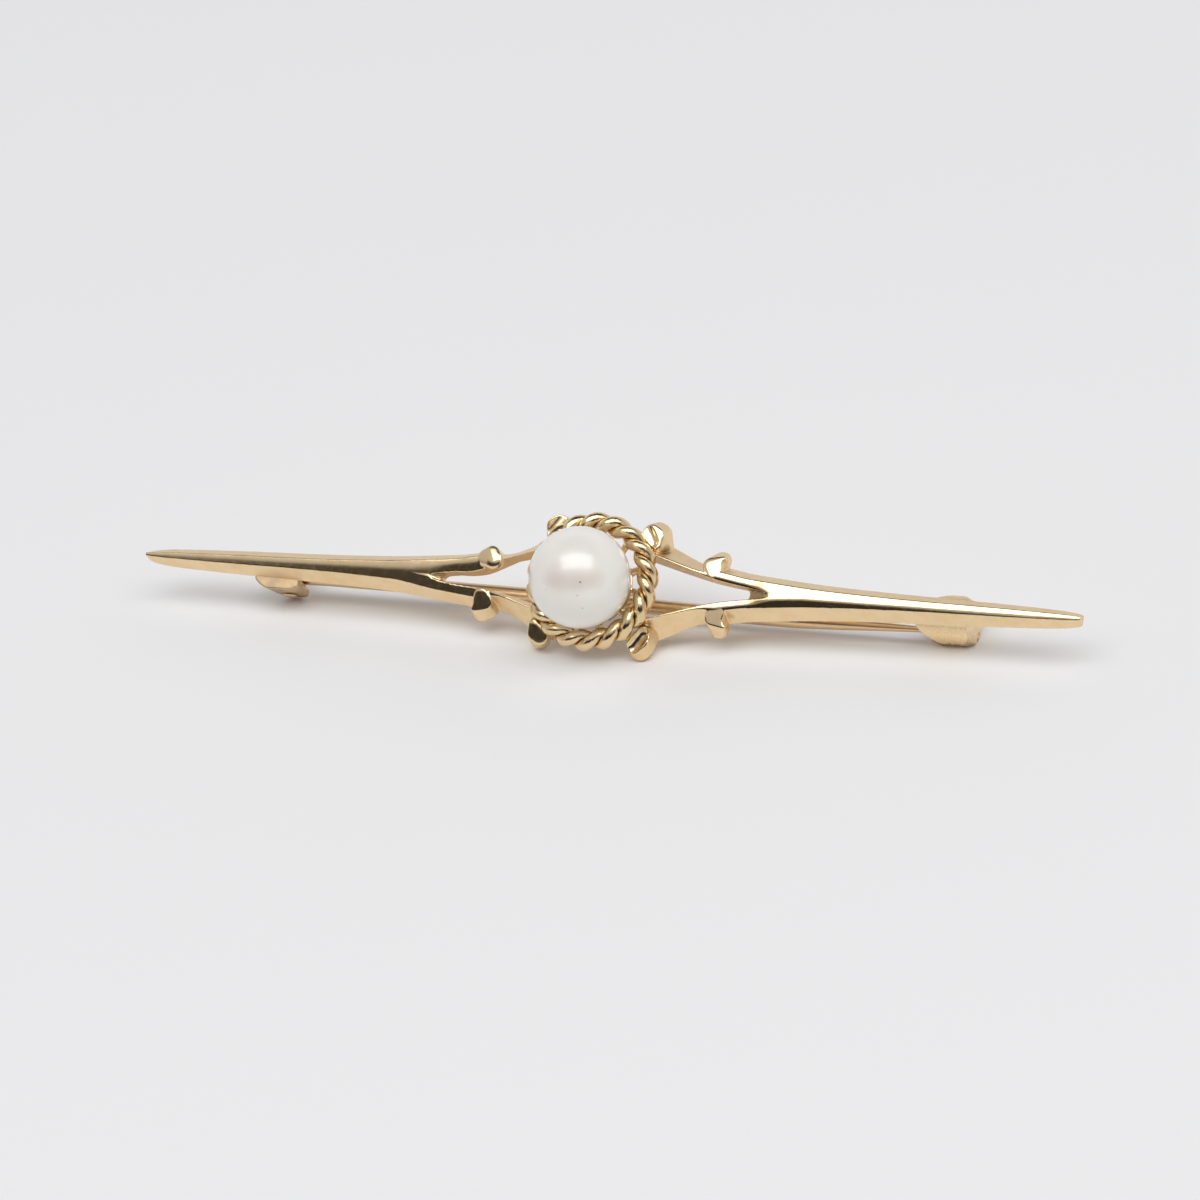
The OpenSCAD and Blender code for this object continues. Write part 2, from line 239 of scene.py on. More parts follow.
# Where an arm is thinned, swollen or bent: the middle and the reach to each side
THINNED = (4.4, 1.7)
SWOLLEN = (6.1, 1.5)
BENT = (7.9, 3.2)

# x, half width of the front, how much wider the back is
OUTER = [
    (2.3, 1.80, 1.05), (2.9, 1.60, 1.00), (3.6, 1.41, 0.86), (4.3, 1.21, 0.72), (5.0, 1.02, 0.60),
    (5.6, 0.94, 0.54), (6.2, 0.98, 0.50), (6.8, 0.90, 0.50), (7.6, 0.76, 0.50), (9.1, 0.62, 0.50),
    (10.8, 0.48, 0.50), (13.0, 0.37, 0.49), (15.8, 0.28, 0.48), (18.4, 0.24, 0.45),
    (21.0, 0.20, 0.40), (23.4, 0.14, 0.34), (24.4, 0.10, 0.24), (24.7, 0.07, 0.14),
]
# x, half width of the opening at the front, how much narrower it is at the back
INNER = [
    (2.2, 1.72, 0.28), (2.9, 1.53, 0.27), (3.6, 1.32, 0.24), (4.3, 1.09, 0.19), (5.0, 0.87, 0.14),
    (5.6, 0.69, 0.10), (6.4, 0.50, 0.05), (7.2, 0.36, 0.02), (8.0, 0.25, 0.02), (8.6, 0.15, 0.02),
    (9.15, 0.01, 0.00),
]


def curve(rows, column, x):
    """A smooth curve through one column of a table, by its first column."""
    last = len(rows) - 1

    def slope(i):
        a = rows[max(i - 1, 0)]
        b = rows[min(i + 1, last)]
        return (b[column] - a[column]) / (b[0] - a[0])

    i = 0
    while i < last - 1 and x >= rows[i + 1][0]:
        i += 1
    h = rows[i + 1][0] - rows[i][0]
    u = (x - rows[i][0]) / h
    return (
        rows[i][column] * (2 * u**3 - 3 * u**2 + 1)
        + slope(i) * h * (u**3 - 2 * u**2 + u)
        + rows[i + 1][column] * (3 * u**2 - 2 * u**3)
        + slope(i + 1) * h * (u**3 - u**2)
    )


def stations(start, end, step):
    """Evenly spaced places from start to end, at most a step apart."""
    n = math.ceil((end - start) / step)
    return [start + (end - start) * i / n for i in range(n + 1)]


def hump(x, middle, reach):
    """1 at the middle, falling to 0 at the reach on both sides."""
    return max(0.0, 1 - ((x - middle) / reach) ** 2)


def thinning(x):
    """An arm is filed thinner between the ring and its scroll."""
    return hump(x, *THINNED)


def swelling(x):
    """An arm swells just before its scroll."""
    return hump(x, *SWOLLEN)


def bending(x):
    """The fork of one side was bent a little downwards."""
    return hump(x, *BENT) ** 2


def smooth(value, low, high):
    """0 below low, 1 above high and smooth between them."""
    t = min(1, max(0, (value - low) / (high - low)))
    return t * t * (3 - 2 * t)


# %% [markdown]
# The two castings were filed by different strokes. On the catch side the polished front is nearly
# flat and rolls off at its lower edge; on the hinge side it slopes down from a ridge near its upper
# edge. Such small tilts decide what a polished surface mirrors, so each side has its own numbers.
#
# slim and swell say how much is filed off the upper arm and how much it swells. open_x and round
# are where the opening ends and how long its round end is. crown, ridge and steepest give the dome
# of the front: its height, where its top runs and its steepest slope, as shares of the half width.
# roll and roll_up are how strongly and how widely the lower and the upper edge roll off. parted and
# parted_up are where the front divides into two arms, and bend is how far the fork is bent.

# %% Casting of one half
ARM_POINTS = 13
CAST_START = 2.3
CUT_START = 2.2
CUT_TOP = 1
CUT_BOTTOM = -CAST_DEPTH - 1
NARROWEST = 0.005
GROOVE_START = 0.5
GROOVE_Z = -0.35
GROOVE_END_Z = 0.12
ROLL_POWER = 1.3
WIDEST_ROLL = 0.9
CATCH_HALF = {
    "slim": 0, "swell": 0, "open_x": OPENING_X, "round": 0.24, "filed": TIP_FILED,
    "crown": 0.05, "ridge": -0.1, "steepest": 0.3, "roll": (0.37, 0.44), "roll_up": (0.5, 0.05),
    "parted": (7.4, 9.4), "parted_up": (7.4, 9.4), "bend": 0,
}
HINGE_HALF = {
    "slim": 0.14, "swell": 0.16, "open_x": OPENING_X + 0.6, "round": 0.5, "filed": 0,
    "crown": 0.15, "ridge": 0.80, "steepest": 0.29, "roll": (0.0, 0.1), "roll_up": (0.5, 0.05),
    "parted": (4.6, 6.6), "parted_up": (7.4, 10.2), "bend": -0.2,
}


def crown(half, y, w):
    """Height of the front at y across a strip that is w wide to each side of its middle."""
    away_from_ridge = half["ridge"] - y / w
    slope = 2 * half["crown"]
    domed = min(away_from_ridge, half["steepest"] / slope)
    fall = slope * domed**2 / 2 + half["steepest"] * (away_from_ridge - domed)
    height = w * (half["crown"] - fall)
    for side, (amount, width) in ((-1, half["roll"]), (1, half["roll_up"])):
        height -= amount * max(0, side * y - w + min(width, WIDEST_ROLL * w)) ** ROLL_POWER
    return height


def bar_section(x, half):
    """The casting's outline across the bar. Its back is flat and bends half as far as its front."""
    w = curve(OUTER, 1, x)
    gap = curve(INNER, 1, min(x, FORK_X))
    thin = half["slim"] * thinning(x)
    top = w - thin
    gap_top = gap + thin - min(half["swell"] * swelling(x), gap / 2)
    draft = curve(OUTER, 2, x)
    bend = half["bend"] * bending(x)
    ring = [(x, bend / 2 - w - draft, -CAST_DEPTH)]
    for low, high, parted in (
        (bend - w, bend - gap, half["parted"]),
        (bend + gap_top, top, half["parted_up"]),
    ):
        forked = 1 - smooth(x, *parted)
        middle = (low + high) / 2
        arm_w = (high - low) / 2
        for k in range(ARM_POINTS):
            y = low + (high - low) * k / (ARM_POINTS - 1)
            arm = crown(half, y - middle, arm_w)
            bar = crown(half, y, w)
            ring.append((x, y, forked * arm + (1 - forked) * bar))
    ring.append((x, top + UPPER_DRAFT * draft, -CAST_DEPTH))
    return ring


def arm_cutter(cuts, half, shaped=1):
    """Cuts between the arms. Columns: x, half width at the front, floor.

    shaped is 1 for a cut that follows the filing of the upper arm, or else 0.
    """
    rings = []
    for x, w, floor in cuts:
        draft = curve(INNER, 2, x) / CAST_DEPTH
        swell = min(half["swell"] * swelling(x), w / 2)
        upper = w + shaped * (half["slim"] * thinning(x) - swell)
        bend = half["bend"] * bending(x)
        rings.append([
            (x, bend - max(NARROWEST, w + draft * floor), floor),
            (x, bend - w - draft * CUT_TOP, CUT_TOP),
            (x, bend + upper + draft * CUT_TOP, CUT_TOP),
            (x, bend + max(NARROWEST, upper + draft * floor), floor),
        ])
    return skin(rings)


def bar_with_arms(half):
    """Half of the brooch without its scrolls and buds.

    The opening goes through, and beyond its round end a groove runs out on the front.
    """
    tip = HALF_LENGTH - half["filed"]
    blank = skin([bar_section(x, half) for x in stations(CAST_START, tip, 0.1)])
    round_x = half["open_x"] - half["round"]
    through = [(x, curve(INNER, 1, x), CUT_BOTTOM) for x in stations(CUT_START, round_x, 0.12)]
    for degrees in range(8, 91, 8):
        a = math.radians(degrees)
        width = max(0.02, curve(INNER, 1, round_x) * math.cos(a))
        through.append((round_x + half["round"] * math.sin(a), width, CUT_BOTTOM))
    groove = []
    for x in stations(half["open_x"] - GROOVE_START, FORK_X, 0.1):
        share = (x - half["open_x"]) / (FORK_X - half["open_x"])
        groove.append((x, curve(INNER, 1, x), GROOVE_Z + (GROOVE_END_Z - GROOVE_Z) * share))
    bar = carve(blank, arm_cutter(through, half))
    return carve(bar, arm_cutter(groove, half, shaped=0))


# %% [markdown]
# Each arm carries an outer scroll, a small wave that curls towards the tip of the bar, and ends
# beside the ring in a bud with a long dish in its face. All are hulls round a few circles, with
# the curl and the dish cut out. They were filed by hand, so no two are quite alike: one scroll is
# only a round knob, and one bud has a plain leaning face.

# %% Scrolls and buds
# x, y, radius
ROOT_FRONT = (6.05, 0.98, 0.36)
ROOT_BACK = (6.10, 1.05, 0.42)
SCROLL_FRONT = ((5.86, 1.28, 0.40), (6.42, 1.62, 0.16))
SCROLL_BACK = (6.27, 1.66, 0.50)
NOTCH_FRONT = (6.68, 1.30, 0.38)
NOTCH_BACK = (7.15, 1.56, 0.20)
KNOB_BACK = ((5.80, 0.98, 0.42), (6.15, 1.10, 0.44))
BUD_FRONT = ((2.90, 2.06, 0.26), (2.56, 2.62, 0.44), (2.78, 2.50, 0.44))
BUD_NECK = (2.95, 2.00, 0.50)
BUD_FOOT = (2.66, 2.72, 0.60)
SLIM_FOOT = (2.80, 2.86, 0.46)
# x, y, radius, height, rise of the dome
KNOB_FRONT = (
    (5.58, 0.80, 0.50, 0.02, 0.24), (5.72, 1.06, 0.46, 0, 0.20), (6.00, 0.90, 0.44, 0, 0.10),
)
SCROLL_LEAN_Y = ROOT_FRONT[1] - 0.2
NOTCH_TOP = 0.2
NOTCH_BOTTOM = -CAST_DEPTH - 0.1
BUD_TOP = 0.12
BUD_EDGE = 0.04
BUD_DOME = 0.05
BUD_BOTTOM = -1.1
BELLY_Z = -0.62
# Each dish: points along it, its radius and its depth
FOLD = [([(2.34, 2.84), (2.70, 2.20)], 0.55, 0.09)]
LEAF = [([(2.46, 2.90), (2.96, 2.20)], 0.40, 0.24)]
CREASE = [([(2.40, 2.90), (2.90, 2.20)], 0.60, 0.22)]
PLAIN = []


def rounds(rows, z, x=0, y=0):
    """Circles at one height, from (x, y, radius) rows, shifted by x and y."""
    return [(cx + x + px, cy + y + py, z) for cx, cy, r in rows for px, py in circle(r)]


def dome(row, z, x=0, y=0, rise=0.08):
    """A circle with smaller ones above it, so that a hull over them is domed."""
    points = []
    for degrees in range(0, 76, 15):
        a = math.radians(degrees)
        ring = [(row[0], row[1], row[2] * math.cos(a))]
        points += rounds(ring, z + rise * math.sin(a), x, y)
    return points


def leaned(points, slope, start):
    """Lets a face fall away outwards from y = start."""
    return [(x, y, z - slope * max(0, y - start)) for x, y, z in points]


def scroll(front_x=0, back_x=0, out=0, rise=0.08, fall=0.2, foot=0):
    """fall is the slope of its front, and foot is how far its back reaches inwards."""
    front = dome(ROOT_FRONT, 0, front_x, 0, rise / 3)
    front += dome(SCROLL_FRONT[0], 0, front_x, out, rise)
    front += dome(SCROLL_FRONT[1], 0, front_x, out, rise / 2)
    back = rounds([ROOT_BACK], -CAST_DEPTH, back_x) + rounds([SCROLL_BACK], -CAST_DEPTH, back_x, out)
    if foot:
        back += rounds([SCROLL_BACK], -CAST_DEPTH, back_x - foot, out - foot / 2)
    body = hull(leaned(front, fall, SCROLL_LEAN_Y) + back)
    notch = hull(
        rounds([NOTCH_FRONT], NOTCH_TOP, front_x, out)
        + rounds([NOTCH_BACK], NOTCH_BOTTOM, back_x, out)
    )
    return carve(body, notch)


def knob():
    """One scroll was filed to a round lump across the whole arm."""
    front = []
    for x, y, r, z, rise in KNOB_FRONT:
        front += dome((x, y, r), z, rise=rise)
    return hull(front + rounds(KNOB_BACK, -CAST_DEPTH))


def ball(centre, r, rows=16):
    """Points on a ball."""
    points = []
    for i in range(1, rows):
        a = math.pi * i / rows
        for px, py in circle(r * math.sin(a), 32):
            points.append((centre[0] + px, centre[1] + py, centre[2] + r * math.cos(a)))
    return points


def scoop(stops, r, depth, x, y, tilt):
    """What is pressed into the bud's face: a ball moved along the given points."""
    points = []
    for sx, sy in stops:
        face = BUD_TOP - tilt * (sy - BUD_FRONT[0][1])
        points += ball((sx + x, sy + y, face + r - depth), r)
    return hull(points)


def bud(dishes, inward=0, out=0, belly=0, foot=BUD_FOOT, tilt=0):
    """belly is how far its middle bulges out, and tilt is how steeply its face falls outwards."""
    points = rounds([foot], BELLY_Z, -inward, belly)
    points += rounds([BUD_NECK, foot], BUD_BOTTOM, -inward)
    for row in BUD_FRONT:
        front = dome(row, BUD_TOP - BUD_EDGE, -inward, out, BUD_DOME)
        points += leaned(front, tilt, BUD_FRONT[0][1] + out)
    body = hull(points)
    for stops, r, depth in dishes:
        body = carve(body, scoop(stops, r, depth, -inward, out, tilt))
    return body


def lower(mesh):
    """The same on the lower edge."""
    return mirrored(mesh, 1)


def hinge_side(mesh):
    """The same on the half with the hinge."""
    return mirrored(mesh, 0)


# %% Both castings
# How squarely a face has to look out of the front to be satin and to be polished
SATIN = 0.5
POLISHED = 0.8


def mark_polish(mesh, least=0.0):
    """The front is polished and the walls are satin. A vertex value says how polished it is."""
    polish = mesh.attributes.new("polish", "FLOAT", "POINT")
    for vertex in mesh.vertices:
        polish.data[vertex.index].value = max(least, smooth(vertex.normal.z, SATIN, POLISHED))
    return mesh


def drooped(mesh):
    """The front drops from the ring to the tip, and the back stays flat."""
    for vertex in mesh.vertices:
        x, _, z = vertex.co
        share = max(0, x - RING_X) / (HALF_LENGTH - RING_X)
        vertex.co.z -= TIP_DROP * share * max(0, 1 + z / CAST_DEPTH)
    return mesh


def bar_casting(half, parts):
    """Rounds off each scroll and bud, then fuses them with the bar."""
    softened = [cast([part], voxel=0.035, smoothing=7) for part in parts]
    return drooped(cast([bar_with_arms(half)] + softened, voxel=0.034, smoothing=4, keep=0.4))


catch_side = bar_casting(CATCH_HALF, [
    scroll(front_x=-0.12, back_x=-0.3),
    bud(FOLD),
    lower(scroll(front_x=0.3, rise=0, fall=0.13)),
    lower(bud(LEAF, inward=0.16, out=0.2, belly=0.28, tilt=0.12)),
])
other_side = hinge_side(bar_casting(HINGE_HALF, [
    knob(),
    bud(CREASE, inward=0.26, out=0.2),
    lower(scroll(rise=0, fall=0.29, foot=0.4)),
    lower(bud(PLAIN, inward=-0.1, out=0.18, foot=SLIM_FOOT, tilt=0.28)),
]))
bars = [
    add_piece("bar_catch_side", mark_polish(catch_side), "brooch", "frame"),
    add_piece("bar_hinge_side", mark_polish(other_side), "brooch", "frame"),
]

# %% [markdown]
# The ring is a rope of two wires twisted left-handed and soldered into a loop. Real wire strands
# keep deep grooves between them, so each strand is its own tube, and every strand knows where its
# grooves are and which way the wire was drawn.

# %% Rope ring
RING_R = 2.9
RING_Z = 0.3
RING_SHIFT = 0.1
STRAND_R = 0.305
STRAND_OFF = 0.24
TURNS = 9
ROPE_STEPS = 720
ROPE_SIDES = 28
# A groove begins where a strand's side faces this far inwards, and is full this much further on
GROOVE_FROM = -0.15
GROOVE_SPAN = 0.6


def strand_centre(t, side):
    """A strand's middle line at the angle t round the ring. side is 0 or pi."""
    twist = TURNS * t + side
    out = RING_R - STRAND_OFF * math.sin(twist)
    return Vector((out * math.cos(t) - RING_SHIFT, out * math.sin(t), RING_Z + STRAND_OFF * math.cos(twist)))


def wire_radius(t, side):
    """The wire is a little uneven."""
    return STRAND_R * (1 + 0.035 * math.sin(7 * t + side) + 0.02 * math.sin(19 * t))


def strand(side):
    """One twisted wire, with vertex values for its grooves and for the lines along it."""
    rings = []
    for i in range(ROPE_STEPS):
        t = 2 * math.pi * i / ROPE_STEPS
        here = strand_centre(t, side)
        along = (strand_centre(t + 0.001, side) - strand_centre(t - 0.001, side)).normalized()
        middle = Vector((RING_R * math.cos(t) - RING_SHIFT, RING_R * math.sin(t), RING_Z))
        outward = (here - middle).normalized()
        across = along.cross(outward).normalized()
        outward = across.cross(along)
        ring = []
        r = wire_radius(t, side)
        for j in range(ROPE_SIDES):
            a = 2 * math.pi * j / ROPE_SIDES
            ring.append(here + r * (math.cos(a) * outward + math.sin(a) * across))
        rings.append(ring)
    mesh = skin(rings, loop=True)
    groove = mesh.attributes.new("groove", "FLOAT", "POINT")
    grain = mesh.attributes.new("grain", "FLOAT_VECTOR", "POINT")
    for vertex in mesh.vertices:
        i, j = divmod(vertex.index, ROPE_SIDES)
        a = 2 * math.pi * j / ROPE_SIDES
        inwards = -math.cos(a)
        groove.data[vertex.index].value = min(1, max(0, (inwards - GROOVE_FROM) / GROOVE_SPAN))
        grain.data[vertex.index].vector = (math.cos(a), math.sin(a), 0.03 * i + side)
    return mesh


rope = add_piece("rope_ring", joined([strand(0), strand(math.pi)]), "brooch", "frame")

# %% [markdown]
# Under the pearl is a shallow cup with a peg in its middle. Short spokes carry it in the ring. The
# cup is turned from a profile, as it would be on a lathe.

# %% Cup, peg and spokes
PEARL_R = 2.5
PEARL_Z = 2.24
PEARL_LOW = 0.14
CUP_IN = PEARL_R + 0.03
CUP_OUT = CUP_IN + 0.3
RIM_R = 2.03
PEG_R = 0.35
PEG_TOP = PEARL_Z - 0.7
SPOKE_ANGLES = (22, 55, 88, 122, 155, 188, 222, 255, 284, 322, 354)
SPOKE_R = 0.18
SPOKE_Z = 0.1
SPOKE_RISE = 0.17
SPOKE_FLARE = 0.35
SPOKE_SUNK = 0.2
# A profile's ends stay this far off the axis, so that no faces shrink to nothing
AXIS_R = 0.004


def turned(profile, sides=96):
    """A solid of revolution round z from (radius, height) points that start and end on the axis."""
    rings = []
    for r, z in profile:
        rings.append([(px, py, z) for px, py in circle(max(r, AXIS_R), sides)])
    return skin(rings)


def arc(r, start, end, steps, centre_z):
    """Points on a circle round the axis's point at centre_z. Angles in degrees from straight down."""
    points = []
    for i in range(steps + 1):
        a = math.radians(start + (end - start) * i / steps)
        points.append((r * math.sin(a), centre_z - r * math.cos(a)))
    return points


rim_angle = math.degrees(math.asin(RIM_R / CUP_OUT))
peg_angle = math.degrees(math.asin(PEG_R / CUP_IN))
cup_profile = arc(CUP_OUT, 0, rim_angle, 20, PEARL_Z)
rim_z = cup_profile[-1][1]
cup_profile += [(RIM_R - 0.06, rim_z + 0.07), (RIM_R - 0.14, rim_z + 0.06)]
cup_profile += arc(CUP_IN, rim_angle - 3, peg_angle, 16, PEARL_Z)
cup_profile += [(PEG_R, PEG_TOP - 0.04), (PEG_R - 0.04, PEG_TOP), (0, PEG_TOP)]


def spoke(degrees):
    """A short wire from inside the cup's wall to the rope, wider at both ends."""
    a = math.radians(degrees)
    rings = []
    for k in range(6):
        s = k / 5
        r = RIM_R - SPOKE_SUNK + (RING_R - RIM_R + SPOKE_SUNK / 2) * s
        z = SPOKE_Z + SPOKE_RISE * s
        flare = SPOKE_R * (1 + SPOKE_FLARE * (2 * s - 1) ** 2)
        rings.append([
            (r * math.cos(a) - py * math.sin(a), r * math.sin(a) + py * math.cos(a), z + px)
            for px, py in circle(flare, 20)
        ])
    return skin(rings)


spokes = [spoke(a) for a in SPOKE_ANGLES]
cup_mesh = cast([turned(cup_profile)] + spokes, voxel=0.04, smoothing=3)
cup_mesh.transform(Matrix.Translation((0, -PEARL_LOW, 0)))
cup = add_piece("cup", mark_polish(cup_mesh), "brooch", "frame")

# %% [markdown]
# The hinge is folded from sheet: a base under the bar and two drilled cheeks, filed to an oval. Its
# cheeks reach down to the table, which the brooch rests on.

# %% Hinge
STEM_BACK = 2.7
HINGE_LOW = -RIVET.y
HINGE_W = 1.78
CHEEK_T = 0.36
HINGE_FOOT = 2.35
HINGE_IN = 1.0
HINGE_BASE_T = 0.3
# The middle's x, half length, half width
HINGE_OVAL = (-17.45, 1.45, 1.0)
# A filed outline reaches from below everything to the front
OUTLINE_Z = (-6, 0)
# How deep a soldered foot reaches into the bar
SUNK = 0.05
RIVET_R = 0.25
GAP = 0.03
CHEEK_LOW = HINGE_LOW + HINGE_W / 2
CHEEK_R = (shift.z - CHEEK_LOW * math.sin(LEAN)) / math.cos(LEAN) - STEM_BACK


def box_points(low, high):
    """The corners of a box."""
    return [
        (x, y, z) for x in (low[0], high[0]) for y in (low[1], high[1]) for z in (low[2], high[2])
    ]


def disc_points(centre, r, half, sides=64):
    """Two circles round an axis along y, half a width to each side."""
    return [
        (centre[0] + px, centre[1] + side * half, centre[2] + pz)
        for side in (-1, 1) for px, pz in circle(r, sides)
    ]


def oval(middle_x, half_x, half_y):
    """Points (x, y) on an oval round a place on the bar's middle line."""
    return [(middle_x + half_x * px, half_y * py) for px, py in circle(1, 96)]


def cheek(side):
    """One drilled cheek. side is -1 for the lower one and 1 for the upper one."""
    y = -HINGE_LOW + side * (HINGE_W - CHEEK_T) / 2
    base = -CAST_DEPTH - HINGE_BASE_T
    start = RIVET.x + HINGE_IN - HINGE_FOOT
    foot = box_points((start, y - CHEEK_T / 2, base), (start + HINGE_FOOT, y + CHEEK_T / 2, -CAST_DEPTH))
    plate = hull(foot + disc_points((RIVET.x, y, -STEM_BACK), CHEEK_R, CHEEK_T / 2))
    return carve(plate, hull(disc_points((RIVET.x, y, -STEM_BACK), RIVET_R + GAP, CHEEK_T)))


filed_outline = hull([(x, y - HINGE_LOW, z) for x, y in oval(*HINGE_OVAL) for z in OUTLINE_Z])
hinge_base = hull(box_points(
    (RIVET.x + HINGE_IN - HINGE_FOOT, -HINGE_LOW - HINGE_W / 2, -CAST_DEPTH - HINGE_BASE_T),
    (RIVET.x + HINGE_IN, -HINGE_LOW + HINGE_W / 2, -CAST_DEPTH + SUNK),
))
hinge_parts = [carve(part, filed_outline, "INTERSECT") for part in (hinge_base, cheek(-1), cheek(1))]
hinge_mesh = cast(hinge_parts, voxel=0.03, smoothing=6)
hinge = add_piece("hinge", mark_polish(hinge_mesh), "brooch", "frame")

# %% [markdown]
# The catch starts as a solid round bar along the stem. A bore and a mouth make it a C that is
# closed at its outer end, and an outline pointed like an egg trims it from the front. It reaches
# back to the table, as the hinge does.

# %% Catch
CATCH_X = 17.1
CATCH_L = 2.9
CATCH_R = 1.23
CATCH_T = 0.38
CATCH_WALL = 0.15
CATCH_LOW = 0.11
CATCH_BACK = (shift.z - CATCH_LOW * math.sin(LEAN) - CATCH_R) / math.cos(LEAN)
CATCH_END = CATCH_X + CATCH_L / 2
STEM_LOW = 0.26
STEM_FALL = 0.0125
STEM_SINK = 0.009
MOUTH_Y = STEM_LOW + STEM_FALL * (CATCH_X - CATCH_L / 4 - RIVET.x)
MOUTH_ROOM = 0.24
CATCH_FOOT_HALF = 0.45
# Two ovals in its outline, the second for the lower edge: the middle's x, half length, half width
CATCH_OVAL = (17.6, 1.4, 1.1)
CATCH_BELLY = (17.5, 1.75, 1.27)
# Its two outer corners: x, y, and their radius
CATCH_CORNERS = ((18, -0.57), (18, 0.45))
CATCH_CORNER_R = 0.66


def along_x(r, start, end, sides=96):
    """A round bar along x on the catch's axis."""
    return hull([
        (x, -CATCH_LOW + px, -CATCH_BACK + py) for x in (start, end) for px, py in circle(r, sides)
    ])


catch_body = carve(
    along_x(CATCH_R, CATCH_X - CATCH_L / 2, CATCH_END),
    hull(box_points(
        (CATCH_X - CATCH_L / 2 + 0.01, -CATCH_LOW - CATCH_FOOT_HALF, -CATCH_BACK),
        (CATCH_END - 0.01, -CATCH_LOW + CATCH_FOOT_HALF, -CAST_DEPTH + SUNK),
    )),
    "UNION",
)
inner_end = CATCH_END - CATCH_WALL
catch_body = carve(catch_body, along_x(CATCH_R - CATCH_T, inner_end - 2 * CATCH_L, inner_end))
catch_body = carve(catch_body, hull(box_points(
    (inner_end - 2 * CATCH_L, -MOUTH_Y - MOUTH_ROOM, -CATCH_BACK - 3),
    (inner_end, -MOUTH_Y + MOUTH_ROOM, -CATCH_BACK + 0.2),
)))
catch_outline = oval(*CATCH_OVAL)
catch_outline += [(x, y) for x, y in oval(*CATCH_BELLY) if y < 0]
for corner_x, corner_y in CATCH_CORNERS:
    catch_outline += [(corner_x + px, corner_y + py) for px, py in circle(CATCH_CORNER_R)]
catch_plan = hull([(x, y - CATCH_LOW, z) for x, y in catch_outline for z in OUTLINE_Z])
catch_mesh = cast([carve(catch_body, catch_plan, "INTERSECT")], voxel=0.035, smoothing=9)
catch = add_piece("catch", mark_polish(catch_mesh, least=0.9), "brooch", "frame")

# %% [markdown]
# The pin stem is one straight wire with a point, swollen where it is soldered to its eye. The eye
# turns on a rivet whose ends are peened over the cheeks.

# %% Pin stem and rivet
STEM_R = 0.38
TIP_R = 0.06
TAPER_X = 9.5
STEM_END = 18.3
ROOT_X = 15.5
ROOT_R = 0.42
EYE_R = 0.7
EYE_SOFT = 0.05
EYE_W = HINGE_W - 2 * CHEEK_T - 2 * GAP
BOW = 0.11
BOW_X = 8.5
BOW_REACH = 10


def stem_middle(x):
    """The stem sinks a little towards the catch, and the worn wire bows slightly."""
    from_bow = min(BOW_REACH, abs(x - BOW_X))
    bow = BOW * math.cos(math.pi * from_bow / (2 * BOW_REACH)) ** 2
    reach = x - RIVET.x
    return (-STEM_LOW - STEM_FALL * reach - bow, -STEM_BACK - STEM_SINK * reach)


def wire(stops, sides=40):
    """A round wire along the stem's middle line, from (x, radius) stops."""
    rings = []
    for x, r in stops:
        y, z = stem_middle(x)
        rings.append([(x, y + px, z + py) for px, py in circle(r, sides)])
    return skin(rings)


def on_rivet(mesh):
    """Turns a solid round z to lie along y at the rivet."""
    mesh.transform(Matrix.Translation(RIVET) @ Matrix.Rotation(math.radians(90), 4, "X"))
    return mesh


def tube_ring(r_out, r_in, half, soft, sides=72):
    """A short tube round z. soft is how much its edges are bevelled."""
    rings = []
    outline = [
        (r_in, -half + soft), (r_in + soft, -half), (r_out - soft, -half), (r_out, -half + soft),
        (r_out, half - soft), (r_out - soft, half), (r_in + soft, half), (r_in, half - soft),
    ]
    for px, py in circle(1, sides):
        rings.append([(r * px, r * py, z) for r, z in outline])
    return skin(rings, loop=True)


stops = [
    (RIVET.x + 0.45, ROOT_R), (RIVET.x + 0.9, ROOT_R - 0.005),
    (-ROOT_X - 0.3, STEM_R + 0.01), (-ROOT_X, STEM_R),
]
stops += [(x, STEM_R) for x in stations(-ROOT_X + 0.4, TAPER_X, 0.6)]
stops += [
    (x, STEM_R + (TIP_R - STEM_R) * (x - TAPER_X) / (STEM_END - TAPER_X))
    for x in stations(TAPER_X + 0.5, STEM_END - 0.05, 0.5)
]
stops += [(STEM_END - 0.02, TIP_R * 0.8), (STEM_END, TIP_R * 0.3)]
eye_ring = on_rivet(tube_ring(EYE_R, RIVET_R + GAP, EYE_W / 2, EYE_SOFT))
pin = add_piece("pin_stem_wire", joined([wire(stops), eye_ring]), "pin", "pin_stem")

head_half = HINGE_W / 2 + GAP
# From the middle of the lower head outwards and up to the rivet: radius, how far it stands out
head_profile = [
    (r, -head_half - out)
    for r, out in ((0, 0.12), (0.2, 0.11), (0.33, 0.07), (0.38, 0.02), (0.37, 0), (RIVET_R, 0))
]
head_profile += [(r, -z) for r, z in reversed(head_profile)]
rivet = add_piece("rivet", on_rivet(turned(head_profile, 48)), "brooch", "hinge_rivet")

# %% [markdown]
# The pearl is not quite a perfect ball: it has a slight swell and a few fine rings. Its drill hole
# is cut as in the real one.

# %% Pearl
PEARL_ROWS = 96
PEARL_SIDES = 192
SWELL = 0.006
FINE_RINGS = 0.0025
SHRINK = 0.0025


